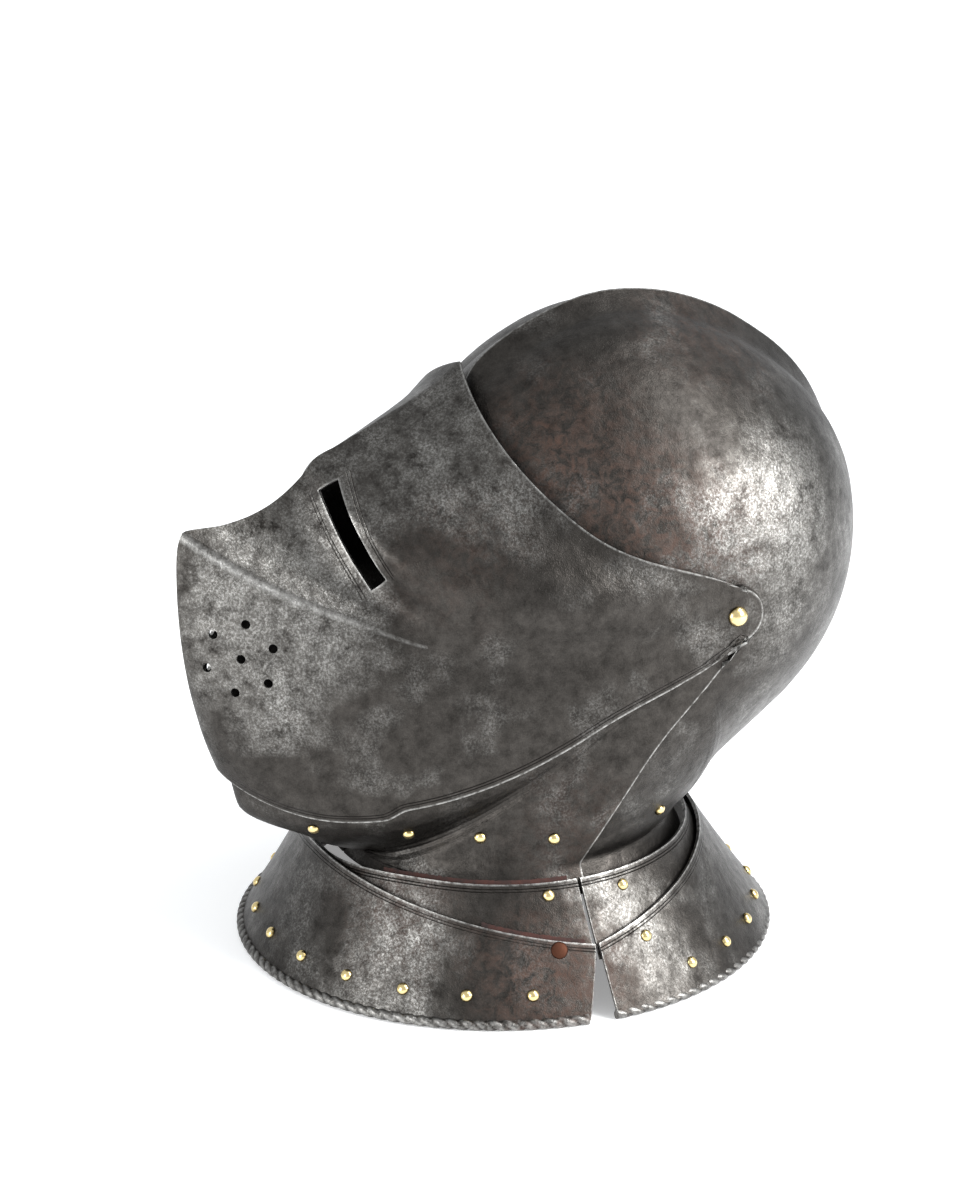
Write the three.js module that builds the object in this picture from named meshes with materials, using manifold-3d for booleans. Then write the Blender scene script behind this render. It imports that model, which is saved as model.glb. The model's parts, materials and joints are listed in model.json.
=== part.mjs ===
import * as THREE from 'three';
import { mergeVertices } from 'three/addons/utils/BufferGeometryUtils.js';
import Module from 'manifold-3d';

// A close helmet for cavalry: a skull, a visor and a bevor that turn on one pair of
// pivots, and two pairs of gorget lames under them. It is worked out from the pivot
// axis, which is X, with the face toward -Y and up as +Z. All sizes are millimetres.

const wasm = await Module();
wasm.setup();

// Driving sizes of the plates
const skullHalfWidth = 91;
const sideRadius = 330;
const pivotZone = 80;
const crownReach = 118;
const combHeight = 7.5;
const visorReach = 223.6;
const bevorReach = 218;
const faceDroop = 18;
const combStart = 0.86;
const waistShare = 0.86;
const lipStart = 0.56;
const skullWall = 2;
const visorWall = 1.6;
const bevorWall = 1.7;
const bevorGap = 1.3;
const visorGap = 1.25;

// Driving sizes of the neck and the gorget
const gorgetDrop = 112;
const waistDrop = 111.5;
const chinDrop = 119;
const neckDrop = 124;
const neckHalfWidth = 77.5;
const neckHalfLength = 76;
const neckForward = 71;
const chinShare = 0.9;
const rimDrop = 171;
const rimHalfWidth = 120.3;
const rimHalfLength = 124.5;
const rimForward = 67.5;
const flarePower = 1.12;
const lameWall = 1.5;
const lameEndGap = 0.9;
const leatherWall = 1.2;
const leatherGap = 0.65;
const ropeHeight = 5.2;
const ropeSwell = 1.2;

// Where the lames lie. A fall is a share of the gorget's height and a turn is in degrees
// from the side of the helmet.
const upperStart = 0.065;
const upperDip = 0.07;
const upperBottom = 0.62;
const lowerStart = 0.1;
const lowerDip = 0.39;
const frontDipPower = 0.85;
const rearDipPower = 1.1;
const splitAngle = 5.5;
const splitFall = 0.5;
const leatherShow = 0.022;
const leatherTurns = { upper: { first: 3, last: 62 }, lower: { first: 2.5, last: 29 } };
const lameSteps = 8;

// Driving sizes of the openings
const sightLength = 50;
const sightHeight = 9.5;
const sightForward = 155;
const sightRise = 38;
const sightSlant = { back: 6.5, down: 16 };
const breathDiameter = 4.2;
const breathSpacing = 16;
const breathsAround = 6;
const breathForward = 202;
const breathDrop = 15.3;
const breathTurn = 9;

// Driving sizes of the rivets
const pivotHeadRadius = 4.7;
const pivotHeadHeight = 3.4;
const pivotShankRadius = 3;
const headRadius = 2.8;
const headHeight = 1.9;
const shankRadius = 1.2;
const flatHeadRadius = 3.9;
const flatHeadHeight = 0.9;
const rivetClearance = 0.5;
const rivetSlack = 0.9;
const liningRise = 26;
const holeDepth = 12;

// Where the rivets sit: turns in degrees and falls as shares, as for the lames
const bevorLiningTurns = [14.5, 37, 60, 84];
const skullLiningTurns = [125, 153];
const rimFall = 0.775;
const rimRivetStep = { front: 14.6, rear: 13.5 };
const lameRivetTurn = { front: 9.5, rear: 13 };
const upperRivetFall = 0.14;
const lowerRivetFall = 0.49;

// The rounded ends of the plates at the pivots, and where their columns and rows lie.
// The columns crowd toward the middle line, where the comb stands.
const visorArm = 12.5;
const bevorArm = 13.5;
const skullArm = 15;
const columnShares = [0, 0.07, 0.17, 0.3, 0.44, 0.58, 0.72, 0.86, 1];
const skullNeckTurns = [0, 8, 22, 37, 53, 70, 94];
const bevorNeckTurns = [87, 101, 116, 132, 149, 170, 180];

// Sizes that follow from the driving ones
const bevorHalfWidth = skullHalfWidth + bevorGap + bevorWall;
const visorHalfWidth = bevorHalfWidth + visorGap + visorWall;
const bevorOut = bevorGap + bevorWall;
const leatherSpace = leatherWall + 2 * leatherGap;
const collarOut = bevorOut + leatherSpace + lameWall;
const lowerOut = leatherSpace + lameWall;
const gorgetHeight = rimDrop - gorgetDrop;
const neckEndFall = (neckDrop - gorgetDrop) / gorgetHeight;
const degrees = Math.PI / 180;

// Sections of the skull from under the brow over the crown to the nape. The angle
// turns about the pivot from straight ahead, the reach is a share of crownReach, the
// comb a share of combHeight, and side and crown are the roundness of the section.
const skullSections = [
  { angle: 34, reach: 1.06, comb: 0, droop: 1, side: 2.3, crown: 1.85 },
  { angle: 44, reach: 1.06, comb: 0, droop: 1, side: 2.3, crown: 1.85 },
  { angle: 50, reach: 1.058, comb: 0.45, droop: 0.95, side: 2.3, crown: 1.92 },
  { angle: 57, reach: 1.048, comb: 0.65, droop: 0.85, side: 2.3, crown: 2.05 },
  { angle: 66, reach: 1.036, comb: 0.75, droop: 0.7, side: 2.3, crown: 2.15 },
  { angle: 76, reach: 1.028, comb: 0.8, droop: 0.5, side: 2.3, crown: 2.2 },
  { angle: 87, reach: 1, comb: 0.85, droop: 0.32, side: 2.3, crown: 2.2 },
  { angle: 98, reach: 0.962, comb: 0.95, droop: 0.2, side: 2.3, crown: 2.2 },
  { angle: 110, reach: 0.925, comb: 1, droop: 0.1, side: 2.3, crown: 2.2 },
  { angle: 122, reach: 0.898, comb: 1, droop: 0, side: 2.3, crown: 2.2 },
  { angle: 135, reach: 0.887, comb: 0.9, droop: 0, side: 2.3, crown: 2.2 },
  { angle: 148, reach: 0.88, comb: 0.6, droop: 0, side: 2.2, crown: 2.15 },
  { angle: 160, reach: 0.868, comb: 0.35, droop: 0, side: 2.1, crown: 2.1 },
  { angle: 172, reach: 0.852, comb: 0.15, droop: 0, side: 2.05, crown: 2.05 },
  { angle: 186, reach: 0.835, comb: 0, droop: 0, side: 2, crown: 2 },
  { angle: 200, reach: 0.815, comb: 0, droop: 0, side: 2, crown: 2 },
  { angle: 214, reach: 0.8, comb: 0, droop: 0, side: 2, crown: 2 },
  { angle: 228, reach: 0.79, comb: 0, droop: 0, side: 2, crown: 2 },
  { angle: 242, reach: 0.795, comb: 0, droop: 0, side: 2, crown: 2 },
  { angle: 253, reach: 0.82, comb: 0, droop: 0, side: 2, crown: 2 },
  { angle: 260.5, reach: 0.868, comb: 0, droop: 0, side: 2.02, crown: 2 },
];

// Sections of the visor from its lower edge, over the prow, to the brow.
// The reach is a share of visorReach.
const visorSections = [
  { angle: -19.6, reach: 0.982, lip: 1.5, side: 2.1, crown: 1.5 },
  { angle: -14, reach: 0.987, side: 2.05, crown: 1.4 },
  { angle: -8, reach: 0.991, side: 2, crown: 1.28 },
  { angle: -2, reach: 0.996, side: 1.95, crown: 1.15 },
  { angle: 4, reach: 1.002, side: 1.88, crown: 1.05 },
  { angle: 8, reach: 1.006, side: 1.83, crown: 1 },
  { angle: 10, reach: 1, side: 1.8, crown: 1 },
  { angle: 11.2, reach: 0.918, side: 1.95, crown: 0.98 },
  { angle: 12.6, reach: 0.868, side: 2.2, crown: 0.98 },
  { angle: 14.7, reach: 0.826, side: 2.6, crown: 1 },
  { angle: 17.2, reach: 0.796, side: 3.2, crown: 1.04 },
  { angle: 19.5, reach: 0.778, side: 3.7, crown: 1.1 },
  { angle: 22, reach: 0.766, side: 3.9, crown: 1.2 },
  { angle: 25.3, reach: 0.727, side: 3.7, crown: 1.35 },
  { angle: 31.1, reach: 0.673, side: 3.1, crown: 1.6 },
  { angle: 37.8, reach: 0.629, side: 2.6, crown: 1.7 },
  { angle: 43.3, reach: 0.607, side: 2.4, crown: 1.75 },
  { angle: 48.3, reach: 0.6, side: 2.3, crown: 1.8 },
];

// Sections of the bevor from its hidden top edge to the turned-under chin.
// The reach is a share of bevorReach.
const bevorSections = [
  { angle: -8, reach: 0.977, droop: 1, side: 2, crown: 1.28 },
  { angle: -14, reach: 0.98, droop: 1, side: 2.05, crown: 1.4 },
  { angle: -19.6, reach: 0.983, droop: 1, side: 2.1, crown: 1.5 },
  { angle: -22.6, reach: 0.994, droop: 0.86, side: 2.1, crown: 1.5 },
  { angle: -25.3, reach: 1, droop: 0.73, side: 2.1, crown: 1.5 },
  { angle: -28.2, reach: 0.968, droop: 0.57, side: 2.1, crown: 1.6 },
  { angle: -31.5, reach: 0.934, droop: 0.39, side: 2.1, crown: 1.7 },
  { angle: -35, reach: 0.908, droop: 0.2, side: 2.1, crown: 1.8 },
];

// Small helpers for numbers and for tables of sections
const mix = (a, b, t) => a + (b - a) * t;
const clamp01 = (t) => Math.min(1, Math.max(0, t));
const smooth = (t) => clamp01(t) ** 2 * (3 - 2 * clamp01(t));

function sectionPoint(side, crown, share) {
  // Finds where a ray from the corner meets the rounded quarter outline
  const turn = (1 - share) * Math.PI / 2;
  const along = Math.cos(turn);
  const across = Math.sin(turn);
  let low = 0;
  let high = 1.5;
  for (let step = 0; step < 40; step += 1) {
    const middle = (low + high) / 2;
    const inside = (middle * along) ** side + (middle * across) ** crown < 1;
    if (inside) low = middle;
    else high = middle;
  }
  return { along: low * along, across: low * across };
}

function fallAt(z) {
  // Share of the way down from the neck to the rim
  return Math.max(0, (-z - gorgetDrop) / gorgetHeight);
}

function flareAt(z) {
  // How far the neck and the gorget have widened at a height, and crept back
  const widened = fallAt(z) ** flarePower;
  return {
    x: widened * (rimHalfWidth - lowerOut - collarOut - neckHalfWidth),
    y: widened * (rimHalfLength - lowerOut - collarOut - neckHalfLength),
    back: fallAt(z) * (neckForward - rimForward),
  };
}

function neckRow(turn, out, back, frontShare, straightness) {
  // A section that runs down to the waist of the neck and on to its lower end.
  // The turn goes around the oval of the neck from its rear middle.
  const forward = Math.max(0, -Math.cos(turn * degrees));
  const halfLength = (neckHalfLength + back + out) * mix(1, frontShare, forward);
  const y = -neckForward + back + halfLength * Math.cos(turn * degrees);
  const x = (neckHalfWidth + out) * Math.sin(turn * degrees);
  const waist = mix(waistDrop, chinDrop, smooth(forward));
  const openness = smooth(straightness * x / neckHalfWidth);
  return {
    angle: Math.atan2(-waist, -y) / degrees,
    radius: Math.hypot(y, waist),
    end: x,
    comb: 0,
    lip: 0,
    droop: 0,
    neck: turn % 180 === 0 ? 0 : neckDrop - waist,
    side: mix(2.05, 1.8, openness),
    crown: mix(2, 1, openness ** 2),
  };
}

function fanPoint(row, halfWidth, share, arm) {
  // Works out one point of a plate: share 0 is at the pivot and 1 at its far edge
  const fullShare = row.neck ? waistShare : 1;
  const section = sectionPoint(row.side, row.crown, Math.min(1, share / fullShare));
  const x = row.end + (halfWidth - row.end) * section.across;
  const lip = row.lip * smooth((share - lipStart) / 0.06) * (1 - smooth((share - 0.7) / 0.3));
  const turn = (row.angle - row.droop * faceDroop * section.across - lip) * degrees;
  const combShare = clamp01((share - combStart) / (1 - combStart)) ** 1.5;
  const radius = row.radius * section.along + row.comb * combHeight * combShare;
  const fade = 1 - smooth(radius / pivotZone);
  const y = -radius * Math.cos(turn) + fade * arm.size * arm.back;
  const below = row.neck ? row.neck * clamp01((share - waistShare) / (1 - waistShare)) : 0;
  const z = radius * Math.sin(turn) + fade * arm.size * arm.up - below;
  // Around the pivot all the plates share one shallow dome, so that they lie close
  const dome = halfWidth - (y * y + z * z) / (2 * sideRadius);
  // Below the waist of the neck the plate flares with the gorget
  const flare = flareAt(z);
  const centre = -neckForward;
  const around = Math.atan2((y - centre) / neckHalfLength, x / neckHalfWidth);
  return new THREE.Vector3(
    x < 1e-6 ? 0 : mix(x, dome, fade) + flare.x * Math.cos(around),
    y + flare.y * Math.sin(around) + flare.back,
    z,
  );
}

function offsetGrid(outer, wall) {
  // The inner face of a plate of even wall
  const last = outer[0].length - 1;
  return outer.map((row, i) => row.map((point, j) => {
    const closed = j === last && point.x === 0;
    const onePoint = j === 0 && point.distanceTo(outer[0][0]) < 1e-6 && i > 0;
    const normal = onePoint || (j === 0 && outer[1][0].distanceTo(outer[0][0]) < 1e-6)
      ? new THREE.Vector3(1, 0, 0) : gridNormal(outer, i, j, closed);
    return point.clone().addScaledVector(normal, -wall);
  }));
}

function gridNormal(grid, i, j, closed) {
  const last = grid[0].length - 1;
  const before = grid[Math.max(i - 1, 0)][j];
  const after = grid[Math.min(i + 1, grid.length - 1)][j];
  const along = after.clone().sub(before);
  const across = grid[i][Math.min(j + 1, last)].clone().sub(grid[i][Math.max(j - 1, 0)]);
  if (closed) {
    // On the middle plane the neighbours lie level on both sides
    along.x = 0;
    across.set(-1, 0, 0);
  }
  return along.cross(across).normalize();
}

// Joins a half grid of outer points and one of inner points into a closed shell, and
// mirrors it. Rows run along the plate and columns from its side to the middle plane.
// Rows that end on the middle plane meet their mirror image, and the others stay open.
// A shell that stays on one side is made as its left or its right image only.
function shellGeometry(outer, inner, side = 'both') {
  const rows = outer.length - 1;
  const columns = outer[0].length - 1;
  const open = outer.map((row) => row[columns].x > 0);
  const corners = [];
  const quad = (a, b, c, d) => {
    if (side !== 'right') corners.push(a, b, c, a, c, d);
    const [e, f, g, h] = [a, b, c, d].map((p) => new THREE.Vector3(-p.x, p.y, p.z));
    if (side !== 'left') corners.push(e, g, f, e, h, g);
  };
  for (let i = 0; i < rows; i += 1) {
    for (let j = 0; j < columns; j += 1) {
      quad(outer[i][j], outer[i + 1][j], outer[i + 1][j + 1], outer[i][j + 1]);
      quad(inner[i][j], inner[i][j + 1], inner[i + 1][j + 1], inner[i + 1][j]);
    }
    quad(outer[i][0], inner[i][0], inner[i + 1][0], outer[i + 1][0]);
    if (open[i] || open[i + 1]) {
      quad(outer[i][columns], outer[i + 1][columns], inner[i + 1][columns], inner[i][columns]);
    }
  }
  for (let j = 0; j < columns; j += 1) {
    quad(outer[0][j], outer[0][j + 1], inner[0][j + 1], inner[0][j]);
    quad(outer[rows][j], inner[rows][j], inner[rows][j + 1], outer[rows][j + 1]);
  }
  return weldedGeometry(corners);
}

function weldedGeometry(corners) {
  const geometry = new THREE.BufferGeometry().setFromPoints(corners);
  const welded = mergeVertices(geometry, 1e-4);
  const index = [];
  const source = welded.index.array;
  for (let k = 0; k < source.length; k += 3) {
    const [a, b, c] = [source[k], source[k + 1], source[k + 2]];
    if (a !== b && b !== c && c !== a) index.push(a, b, c);
  }
  welded.setIndex(index);
  return welded;
}

// Turns geometry into a solid for boolean cuts, and back
function solidOf(geometry) {
  const bare = new THREE.BufferGeometry();
  bare.setAttribute('position', geometry.getAttribute('position').clone());
  if (geometry.index) bare.setIndex(geometry.index.clone());
  const welded = mergeVertices(bare, 1e-4);
  const mesh = new wasm.Mesh({
    numProp: 3,
    vertProperties: new Float32Array(welded.getAttribute('position').array),
    triVerts: new Uint32Array(welded.index.array),
  });
  return new wasm.Manifold(mesh);
}

function geometryOf(solid) {
  const mesh = solid.getMesh();
  const geometry = new THREE.BufferGeometry();
  const positions = new Float32Array(mesh.numVert * 3);
  for (let k = 0; k < mesh.numVert; k += 1) {
    for (let axis = 0; axis < 3; axis += 1) {
      positions[3 * k + axis] = mesh.vertProperties[mesh.numProp * k + axis];
    }
  }
  geometry.setAttribute('position', new THREE.BufferAttribute(positions, 3));
  geometry.setIndex(new THREE.BufferAttribute(new Uint32Array(mesh.triVerts), 1));
  return geometry;
}

function cutAll(geometry, cutters) {
  let solid = solidOf(geometry);
  for (const cutter of cutters) solid = solid.subtract(solidOf(cutter));
  return geometryOf(solid);
}

// Holes and rivets share a seat: a point on a plate's outer face and its direction
function placed(geometry, seat) {
  const turn = new THREE.Quaternion().setFromUnitVectors(new THREE.Vector3(0, 0, 1), seat.out);
  return geometry.applyQuaternion(turn).translate(seat.at.x, seat.at.y, seat.at.z);
}

function mirrored(seat) {
  return {
    at: new THREE.Vector3(-seat.at.x, seat.at.y, seat.at.z),
    out: new THREE.Vector3(-seat.out.x, seat.out.y, seat.out.z),
  };
}

function seatOnGrid(grid, origin, direction) {
  // Finds where a line meets the left half of a plate
  const point = new THREE.Vector3();
  const line = new THREE.Ray(origin, direction.normalize());
  for (let i = 0; i + 1 < grid.length; i += 1) {
    for (let j = 0; j + 1 < grid[0].length; j += 1) {
      const [a, b] = [grid[i][j], grid[i + 1][j]];
      const [c, d] = [grid[i + 1][j + 1], grid[i][j + 1]];
      for (const [p, q, r] of [[a, b, c], [a, c, d]]) {
        if (line.intersectTriangle(p, q, r, false, point)) {
          const out = q.clone().sub(p).cross(r.clone().sub(p)).normalize();
          return { at: point.clone(), out };
        }
      }
    }
  }
  throw new Error('no plate on the line');
}

function sideSeat(grid, y, z) {
  return seatOnGrid(grid, new THREE.Vector3(300, y, z), new THREE.Vector3(-1, 0, 0));
}

function neckSeat(grid, turn, z) {
  // Looks outward from the axis of the neck, turned from straight ahead
  const lean = turn === 180 ? 1e-4 : 0;
  const direction = new THREE.Vector3(Math.sin(turn * degrees) + lean, -Math.cos(turn * degrees), 0);
  const seat = seatOnGrid(grid, new THREE.Vector3(0, -neckForward, z), direction);
  if (lean) seat.out.setX(0).normalize();
  return seat;
}

function holeGeometry(radius, depth, sides, seat) {
  const hole = new THREE.CylinderGeometry(radius, radius, 2 * depth, sides);
  hole.rotateX(Math.PI / 2);
  return placed(hole, seat);
}

function rivetGeometry(rivet, grip, seat) {
  // The head sits a clearance off the plate, and the shank ends just past its inner face
  const inside = -(grip + rivetSlack);
  const profile = [
    new THREE.Vector2(0, inside),
    new THREE.Vector2(rivet.shank, inside),
    new THREE.Vector2(rivet.shank, rivetClearance),
    new THREE.Vector2(rivet.head, rivetClearance),
    new THREE.Vector2(rivet.head * rivet.shoulder, rivetClearance + rivet.height * 0.7),
    new THREE.Vector2(0, rivetClearance + rivet.height),
  ];
  const lathe = new THREE.LatheGeometry(profile, rivet.sides);
  lathe.rotateX(Math.PI / 2);
  return placed(lathe, seat);
}

// Grids of the plates

function plateGrid(rows, halfWidth, armAt) {
  return rows.map((row, i) => {
    const arm = armAt(i / (rows.length - 1));
    return columnShares.map((share) => fanPoint(row, halfWidth, share, arm));
  });
}

function sectionRow(section, fullReach) {
  return { comb: 0, lip: 0, droop: 1, end: 0, ...section, radius: section.reach * fullReach };
}

const skullRows = [
  ...skullSections.map((section) => sectionRow(section, crownReach)),
  ...skullNeckTurns.map((turn) => {
    const row = neckRow(turn, 0, bevorOut / 4, 1, 1);
    return { ...row, angle: row.angle + 360 };
  }),
];
const skullGrid = plateGrid(skullRows, skullHalfWidth, () => ({
  size: skullArm, back: -1, up: 0,
}));

const bevorRows = [
  ...bevorNeckTurns.map((turn) => neckRow(turn, bevorOut, 0, chinShare, 1.15)),
  ...[...bevorSections].reverse().map((section) => sectionRow(section, bevorReach)),
];
const armEnd = (size) => (t) => {
  // The rounded end of an arm behind the pivot, from its lower to its upper edge
  const turn = mix(-80, 80, t) * degrees;
  return { size, back: Math.cos(turn), up: Math.sin(turn) };
};
const bevorGrid = plateGrid(bevorRows, bevorHalfWidth, armEnd(bevorArm));

const visorRows = visorSections.map((section) => sectionRow(section, visorReach));
const visorGrid = plateGrid(visorRows, visorHalfWidth, armEnd(visorArm));

// Grids of the gorget lames. The turn runs from the side of the helmet to its middle.
function gorgetPoint(turn, fall, out, toward) {
  const z = -gorgetDrop - fall * gorgetHeight;
  const flare = flareAt(z);
  const halfWidth = neckHalfWidth + collarOut + flare.x + out;
  const halfLength = neckHalfLength + collarOut + flare.y + out;
  return new THREE.Vector3(
    turn === 90 ? 0 : halfWidth * Math.cos(turn * degrees),
    -neckForward + flare.back + toward * halfLength * Math.sin(turn * degrees),
    z,
  );
}

function ringTurns(firstTurn, lastTurn, steps) {
  return Array.from({ length: steps + 1 }, (_, k) => mix(firstTurn, lastTurn, k / steps));
}

function ringShell(turns, levels, toward, endCut = () => 0, side = 'both') {
  // Levels run downward, each with the outer and inner offsets of the wall there
  const order = toward < 0 ? [...levels].reverse() : levels;
  const face = (wall) => order.map((level) => turns.map((turn) => {
    const fall = level.fall(turn);
    return gorgetPoint(mix(turn, 90, endCut(fall) / 90), fall, level[wall], toward);
  }));
  return shellGeometry(face('outer'), face('inner'), side);
}

const lowerTop = (power) => (turn) => lowerStart + lowerDip * (1 - Math.sin(turn * degrees)) ** power;
const endTurn = (lameEndGap / 2 / neckHalfWidth) / degrees;
const lameTurns = ringTurns(endTurn, 90, lameSteps);

const upperTop = (toward) => (turn) => (
  upperStart + (toward < 0 ? upperDip * smooth((turn - 45) / 45) : 0)
);

function upperLame(toward) {
  const top = upperTop(toward);
  const levels = [0, 0.5, 1].map((share) => ({
    fall: (turn) => mix(top(turn), upperBottom, share), outer: 0, inner: -lameWall,
  }));
  return ringShell(lameTurns, levels, toward);
}

function lowerLame(toward, power) {
  const top = lowerTop(power);
  const ropeTop = 1 - ropeHeight / gorgetHeight;
  const plain = (share) => ({
    fall: (turn) => mix(top(turn), ropeTop, share),
    outer: lowerOut,
    inner: lowerOut - lameWall,
  });
  const swollen = (share, swell) => ({
    fall: () => mix(ropeTop, 1, share),
    outer: lowerOut + swell,
    inner: lowerOut - lameWall - swell,
  });
  const levels = [
    plain(0), plain(1),
    swollen(0.3, ropeSwell), swollen(0.75, ropeSwell), swollen(1, ropeSwell * 0.4),
  ];
  // Below the lame rivets the front lame is cut back, and the side shows a split
  const split = (fall) => splitAngle * clamp01((fall - splitFall) / (1 - splitFall));
  return ringShell(lameTurns, levels, toward, toward < 0 ? split : () => 0);
}

// A leather strip behind the upper edge of a front lame, peeping out above it

function leatherStrip(span, top, bottom, inner, side) {
  // Its folds lie on those of the lame
  const between = lameTurns.filter((turn) => turn > span.first + 2 && turn < span.last - 2);
  const turns = [span.first, ...between, span.last];
  const levels = [0, 1].map((share) => ({
    fall: (turn) => mix(top(turn), bottom, share), outer: inner + leatherWall, inner,
  }));
  return ringShell(turns, levels, -1, () => 0, side);
}

function upperLeather(side) {
  const top = (turn) => upperTop(-1)(turn) - leatherShow;
  return leatherStrip(leatherTurns.upper, top, neckEndFall, -lameWall - leatherGap - leatherWall, side);
}

function lowerLeather(side) {
  const top = (turn) => lowerTop(frontDipPower)(turn) - leatherShow;
  return leatherStrip(leatherTurns.lower, top, upperBottom - 0.04, leatherGap, side);
}

// Materials
function finish(color, roughness, metalness) {
  return new THREE.MeshStandardMaterial({ color, roughness, metalness });
}
const darkSteel = 0x5b5750;
const brass = 0xc2a35c;
const copper = 0x8a5a48;
const redLeather = 0x8c3a26;

const helmet = new THREE.Group();

function addPiece(name, geometry, color, roughness, metalness) {
  geometry.computeVertexNormals();
  const piece = new THREE.Mesh(geometry, finish(color, roughness, metalness));
  piece.name = name;
  helmet.add(piece);
  return piece;
}

// Rivets: the pivots, the lining rivets, the rivets along the rims and the lame rivets
const pivotRivet = {
  head: pivotHeadRadius, height: pivotHeadHeight, shank: pivotShankRadius,
  shoulder: 0.75, sides: 8,
};
const domedRivet = {
  head: headRadius, height: headHeight, shank: shankRadius,
  shoulder: 0.75, sides: 6,
};
const flatRivet = {
  head: flatHeadRadius, height: flatHeadHeight, shank: shankRadius,
  shoulder: 0.92, sides: 8,
};
const holeRadius = (rivet) => rivet.shank + rivetClearance;

const bothSides = (name, seat) => [
  { name: `${name}_left`, seat },
  { name: `${name}_right`, seat: mirrored(seat) },
];

const pivotSeat = { at: new THREE.Vector3(visorHalfWidth, 0, 0), out: new THREE.Vector3(1, 0, 0) };
const pivotGrip = visorHalfWidth - skullHalfWidth + skullWall;
const pivots = bothSides('pivot_rivet', pivotSeat);

const liningDrop = neckDrop - liningRise;
const bevorLining = bevorLiningTurns.flatMap((turn, k) => (
  bothSides(`bevor_rivet_${k + 1}`, neckSeat(bevorGrid, turn, -liningDrop))
));
const skullLining = [
  ...skullLiningTurns.flatMap((turn, k) => (
    bothSides(`skull_rivet_${k + 1}`, neckSeat(skullGrid, turn, -liningDrop))
  )),
  { name: 'skull_rivet_middle', seat: neckSeat(skullGrid, 180, -liningDrop) },
];

function gorgetSeat(turn, fall, out, toward) {
  const step = 0.5;
  const at = gorgetPoint(turn, fall, out, toward);
  const around = gorgetPoint(turn + step, fall, out, toward)
    .sub(gorgetPoint(turn - step, fall, out, toward));
  const down = gorgetPoint(turn, fall + 0.02, out, toward)
    .sub(gorgetPoint(turn, fall - 0.02, out, toward));
  const outward = around.cross(down).normalize().multiplyScalar(-toward);
  return { at, out: outward };
}

const rimRivets = [-1, 1].flatMap((toward) => {
  const place = toward < 0 ? 'front' : 'rear';
  const middle = {
    name: `${place}_rim_rivet_middle`,
    seat: gorgetSeat(90, rimFall, lowerOut, toward),
  };
  const sides = [1, 2, 3, 4, 5].flatMap((k) => {
    const turn = 90 - k * rimRivetStep[place];
    return bothSides(`${place}_rim_rivet_${k}`, gorgetSeat(turn, rimFall, lowerOut, toward));
  });
  return [middle, ...sides].map((one) => ({ ...one, toward }));
});

// Lame rivets: each pair holds an upper or a lower lame near the side of the helmet
const lameRivets = [-1, 1].flatMap((toward) => {
  const place = toward < 0 ? 'front' : 'rear';
  const turn = lameRivetTurn[place];
  const upperSeat = gorgetSeat(turn, upperRivetFall, 0, toward);
  const lowerSeat = gorgetSeat(turn, lowerRivetFall, lowerOut, toward);
  const upper = bothSides(`${place}_upper_lame_rivet`, upperSeat);
  const lower = bothSides(`${place}_lower_lame_rivet`, lowerSeat);
  return [
    ...upper.map((one) => ({ ...one, toward, level: 'upper' })),
    ...lower.map((one) => ({ ...one, toward, level: 'lower' })),
  ];
});
const isFlat = (rivet) => rivet.name === 'front_lower_lame_rivet_left';

function rivetHoles(rivets, kind) {
  return rivets.map((one) => holeGeometry(holeRadius(kind), holeDepth, kind.sides, one.seat));
}

// The openings of the visor
function breathHoles() {
  const holes = [];
  const centre = sideSeat(visorGrid, -breathForward, -breathDrop);
  const along = new THREE.Vector3(0, 0, 1).cross(centre.out).normalize();
  const up = centre.out.clone().cross(along);
  for (let k = 0; k <= breathsAround; k += 1) {
    const turn = (breathTurn + k * 360 / breathsAround) * degrees;
    const spread = k === breathsAround ? 0 : breathSpacing;
    const at = centre.at.clone()
      .addScaledVector(along, spread * Math.sin(turn))
      .addScaledVector(up, spread * Math.cos(turn));
    const seat = sideSeat(visorGrid, at.y, at.z);
    holes.push(holeGeometry(breathDiameter / 2, breathDiameter, 6, seat));
    holes.push(holeGeometry(breathDiameter / 2, breathDiameter, 6, mirrored(seat)));
  }
  return holes;
}

function sightHoles() {
  const seat = sideSeat(visorGrid, -sightForward, sightRise);
  const outerEnd = sideSeat(visorGrid, -sightForward + sightSlant.back, sightRise - sightSlant.down);
  const along = outerEnd.at.clone().sub(seat.at);
  along.addScaledVector(seat.out, -along.dot(seat.out)).normalize();
  const up = seat.out.clone().cross(along).normalize();
  const turn = new THREE.Matrix4().makeBasis(along, up, seat.out);
  const slot = new THREE.BoxGeometry(sightLength, sightHeight, 24);
  slot.applyMatrix4(turn).translate(seat.at.x, seat.at.y, seat.at.z);
  const other = slot.clone();
  const position = other.getAttribute('position');
  for (let k = 0; k < position.count; k += 1) position.setX(k, -position.getX(k));
  const index = other.index.array;
  for (let k = 0; k < index.length; k += 3) {
    [index[k + 1], index[k + 2]] = [index[k + 2], index[k + 1]];
  }
  return [slot, other];
}

// Plates
const pivotHoles = rivetHoles(pivots, pivotRivet);
const upperJoin = lameRivets.filter((one) => one.level === 'upper');
const lowerJoin = lameRivets.filter((one) => one.level === 'lower');
const ofSide = (rivets, toward) => rivets.filter((one) => one.toward === toward);

function buildSkull() {
  const shell = shellGeometry(skullGrid, offsetGrid(skullGrid, skullWall));
  return cutAll(shell, [
    ...pivotHoles,
    ...rivetHoles(skullLining, domedRivet),
    ...rivetHoles(ofSide(upperJoin, 1), domedRivet),
  ]);
}

function buildBevor() {
  const shell = shellGeometry(bevorGrid, offsetGrid(bevorGrid, bevorWall));
  return cutAll(shell, [
    ...pivotHoles,
    ...rivetHoles(bevorLining, domedRivet),
    ...rivetHoles(ofSide(upperJoin, -1), domedRivet),
  ]);
}

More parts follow.
